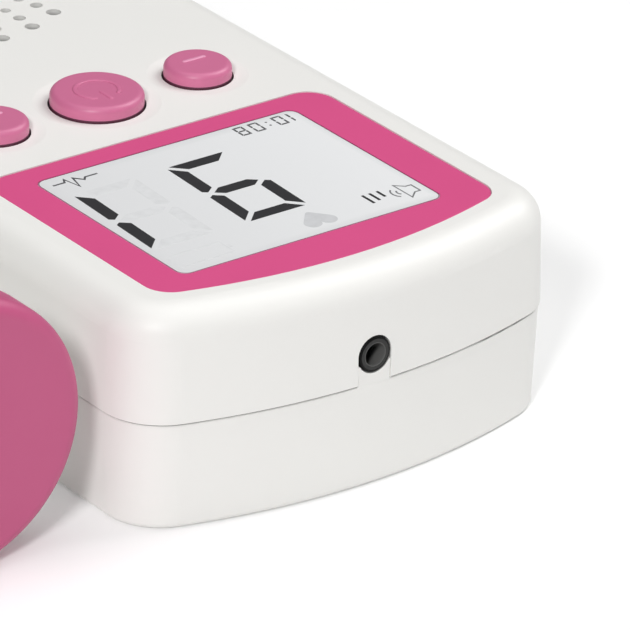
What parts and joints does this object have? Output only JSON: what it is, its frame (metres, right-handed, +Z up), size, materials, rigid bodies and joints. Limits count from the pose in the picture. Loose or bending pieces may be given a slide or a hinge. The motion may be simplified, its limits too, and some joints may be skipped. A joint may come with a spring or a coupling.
{
  "type": "fetal doppler monitor",
  "caption": "Hand-held fetal doppler monitor: white case with pink display surround and round keys, docked probe with a round pink face.",
  "frame": {"origin": "on the floor under the middle of the main unit, which lies on its back", "axes": "+Z up through the display, +Y along the unit towards its display end, +X towards the docked probe"},
  "size_m": [0.1274, 0.136, 0.0439],
  "materials": {
    "shell_white": "satin white ABS, fine moulded texture",
    "bezel_pink": "smooth pink, semi gloss",
    "key_pink": "satin pink, soft sheen",
    "cap_pink": "satin pink, slightly darker",
    "lens_clear": "clear acrylic, polished",
    "screen_grey": "grey reflective display glass",
    "tray_white": "white moulded frame",
    "backlight": "light guide plate",
    "zebra_rubber": "layered conductive rubber",
    "board_green": "glass epoxy with green solder mask",
    "jack_black": "black, satin",
    "chip_black": "moulded epoxy",
    "can_steel": "drawn steel can",
    "capacitor_sleeve": "dark shrink sleeve",
    "screw_steel": "zinc plated",
    "contact_nickel": "nickel plated",
    "cell_jacket": "plain printed jacket",
    "switch_black": "black, matt",
    "plunger_white": "white, matt",
    "gasket_foam": "black foam ring",
    "speaker_steel": "pressed steel, dark",
    "cone_paper": "black film cone",
    "coil_copper": "enamelled copper wire",
    "magnet_ferrite": "sintered ferrite",
    "crystal_silver": "ceramic with fired silver faces",
    "backing_resin": "loaded damping resin",
    "gland_rubber": "light grey, matt"
  },
  "bodies": {
    "main_unit": {"top_shell": "shell_white", "bottom_shell": "shell_white", "display_bezel": "bezel_pink", "display_lens": "lens_clear", "lcd_glass": "screen_grey", "lcd_tray": "tray_white", "lcd_backlight": "backlight", "zebra_strip": "zebra_rubber", "main_pcb": "board_green", "headphone_jack": "jack_black", "jack_sleeve": "jack_black", "probe_socket": "jack_black", "case_screws": "screw_steel", "pcb_screws": "screw_steel", "controller_chip": "chip_black", "amplifier_chip": "chip_black", "receiver_chip": "chip_black", "crystal_can": "can_steel", "capacitors": "capacitor_sleeve", "battery_springs": "contact_nickel", "battery_link": "contact_nickel", "battery_terminal_plus": "contact_nickel", "battery_terminal_minus": "contact_nickel", "battery_1": "cell_jacket", "battery_2": "cell_jacket", "power_switch": "switch_black", "plus_switch": "switch_black", "minus_switch": "switch_black", "speaker_gasket": "gasket_foam", "speaker_frame": "speaker_steel", "speaker_cone": "cone_paper", "speaker_coil": "coil_copper", "speaker_magnet": "magnet_ferrite", "probe_clip": "shell_white", "clip_screws": "screw_steel"},
    "power_button": {"power_key": "key_pink", "power_plunger": "plunger_white"},
    "plus_button": {"plus_key": "key_pink", "plus_plunger": "plunger_white"},
    "minus_button": {"minus_key": "key_pink", "minus_plunger": "plunger_white"},
    "door": {"battery_door": "shell_white"},
    "probe": {"probe_cap": "cap_pink", "piezo_transmit": "crystal_silver", "piezo_receive": "crystal_silver", "probe_backing": "backing_resin", "probe_pcb": "board_green", "probe_gland": "gland_rubber", "probe_screws": "screw_steel", "probe_shell_upper": "shell_white", "probe_shell_lower": "shell_white"}
  },
  "joints": [
    {"name": "power_button_press", "type": "slide", "parent": "main_unit", "child": "power_button", "axis": [0, 0, -1], "range_m": [0, 0.0005], "stiffness_N_per_m": 2500, "springref_m": -0.0002},
    {"name": "plus_button_press", "type": "slide", "parent": "main_unit", "child": "plus_button", "axis": [0, 0, -1], "range_m": [0, 0.0005], "stiffness_N_per_m": 2500, "springref_m": -0.0002},
    {"name": "minus_button_press", "type": "slide", "parent": "main_unit", "child": "minus_button", "axis": [0, 0, -1], "range_m": [0, 0.0005], "stiffness_N_per_m": 2500, "springref_m": -0.0002},
    {"name": "door_slide", "type": "slide", "parent": "main_unit", "child": "door", "axis": [0, -1, 0], "range_m": [0, 0.07]},
    {"name": "probe_release", "type": "slide", "parent": "main_unit", "child": "probe", "axis": [0, 1, 0], "range_m": [0, 0.13]}
  ]
}
